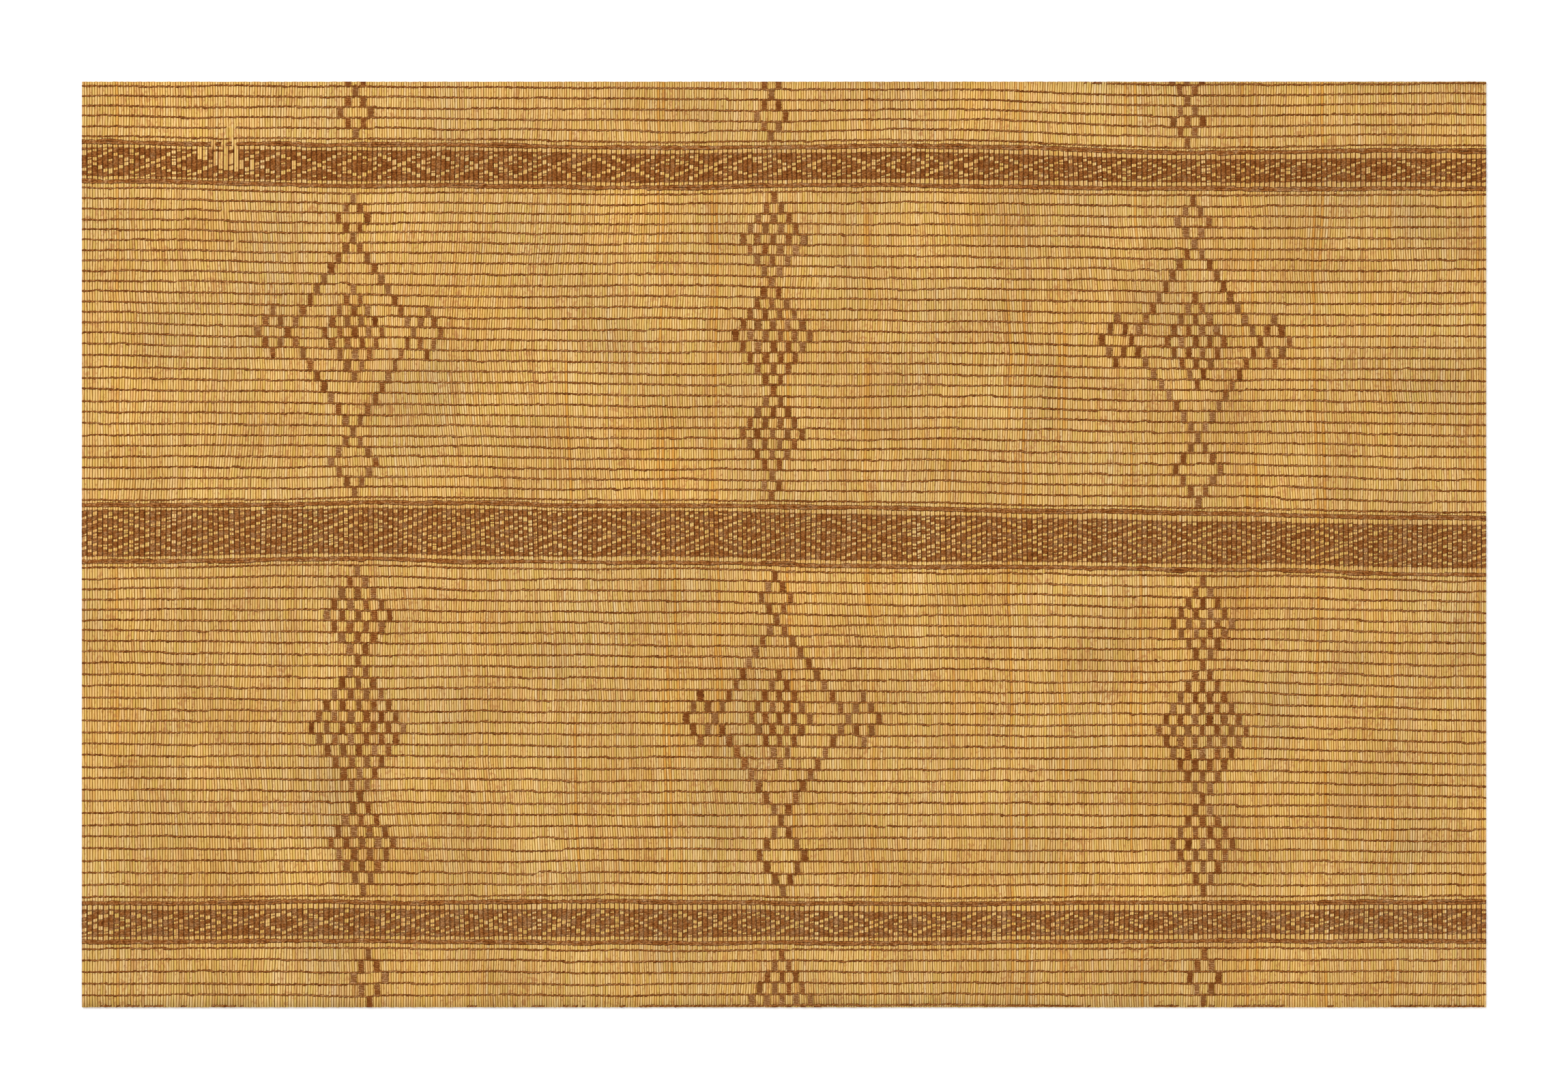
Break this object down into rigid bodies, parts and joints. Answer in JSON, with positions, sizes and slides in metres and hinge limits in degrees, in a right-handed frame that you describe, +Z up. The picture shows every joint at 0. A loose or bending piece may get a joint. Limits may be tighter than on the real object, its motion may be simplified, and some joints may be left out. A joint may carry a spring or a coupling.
{
  "type": "reed and leather floor mat",
  "caption": "Flat floor mat of thin reeds twined with leather rows, with leather-covered bands, cut square on all sides.",
  "frame": {"origin": "middle of the flat underside", "axes": "+X along the leather rows, the mat's long side; +Y along the reeds, towards the far edge; +Z up from the floor"},
  "size_m": [1.65, 1.088, 0.0038],
  "materials": {
    "reed": "satin golden straw",
    "leather": "worn brown leather thong"
  },
  "bodies": {
    "root": {"reed_mat": "reed"}
  },
  "joints": []
}
